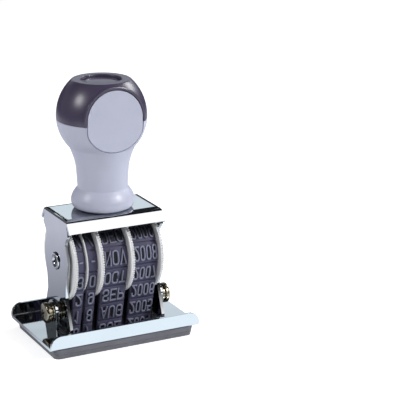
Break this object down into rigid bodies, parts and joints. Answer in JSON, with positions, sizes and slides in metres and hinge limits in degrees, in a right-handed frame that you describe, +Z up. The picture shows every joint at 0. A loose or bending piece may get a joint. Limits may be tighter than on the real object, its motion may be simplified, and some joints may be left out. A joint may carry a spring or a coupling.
{
  "type": "date stamp",
  "caption": "Hand date stamp: rubber date bands on thumb wheels in a chromed frame under a two-tone ball handle, with a rubber die on a plate that slides and clamps at the sides.",
  "frame": {"origin": "middle of the footprint on the paper, under the middle of the die", "axes": "+Z up along the handle, +X along the die plate and the wheels' axle towards the year wheel, -Y towards the front"},
  "size_m": [0.054, 0.0362, 0.0881],
  "materials": {
    "chrome_sheet": "bright plated sheet",
    "pale_shell": "satin gloss",
    "dark_shell": "satin gloss",
    "plated_steel": "plated",
    "clamp_metal": "yellow-grey plated",
    "dark_steel": "black",
    "ivory_plastic": "moulded",
    "band_rubber": "matt",
    "grey_rubber": "matt"
  },
  "bodies": {
    "frame": {"frame_shell": "chrome_sheet", "handle_body": "pale_shell", "handle_cap": "dark_shell", "handle_top_disc": "dark_shell", "handle_screw": "plated_steel", "handle_washer": "plated_steel", "wheel_axle": "plated_steel", "day_tens_band": "band_rubber", "day_units_band": "band_rubber", "month_band": "band_rubber", "year_band": "band_rubber", "band_bridge": "dark_steel", "right_flat_washer": "clamp_metal", "right_lock_washer": "clamp_metal", "right_clamp_nut": "clamp_metal", "left_flat_washer": "clamp_metal", "left_lock_washer": "clamp_metal", "left_clamp_nut": "clamp_metal"},
    "day_tens": {"day_tens_wheel": "ivory_plastic"},
    "day_units": {"day_units_wheel": "ivory_plastic"},
    "month": {"month_wheel": "ivory_plastic"},
    "year": {"year_wheel": "ivory_plastic"},
    "plate": {"die_plate": "chrome_sheet", "cushion": "grey_rubber", "text_die": "grey_rubber"},
    "right_screw": {"right_clamp_screw": "clamp_metal"},
    "left_screw": {"left_clamp_screw": "clamp_metal"}
  },
  "joints": [
    {"name": "day_tens_turn", "type": "hinge", "parent": "frame", "child": "day_tens", "pos_m": [0, 0, 0.028], "axis": [1, 0, 0], "continuous": true},
    {"name": "day_units_turn", "type": "hinge", "parent": "frame", "child": "day_units", "pos_m": [0, 0, 0.028], "axis": [1, 0, 0], "continuous": true},
    {"name": "month_turn", "type": "hinge", "parent": "frame", "child": "month", "pos_m": [0, 0, 0.028], "axis": [1, 0, 0], "continuous": true},
    {"name": "year_turn", "type": "hinge", "parent": "frame", "child": "year", "pos_m": [0, 0, 0.028], "axis": [1, 0, 0], "continuous": true},
    {"name": "plate_slide", "type": "slide", "parent": "frame", "child": "plate", "axis": [0, 0, 1], "range_m": [-0.001, 0.001]},
    {"name": "right_screw_turn", "type": "hinge", "parent": "frame", "child": "right_screw", "pos_m": [0, -0.0015, 0.0108], "axis": [1, 0, 0], "range_deg": [0, 360]},
    {"name": "left_screw_turn", "type": "hinge", "parent": "frame", "child": "left_screw", "pos_m": [0, -0.0015, 0.0108], "axis": [-1, 0, 0], "range_deg": [0, 360]}
  ]
}
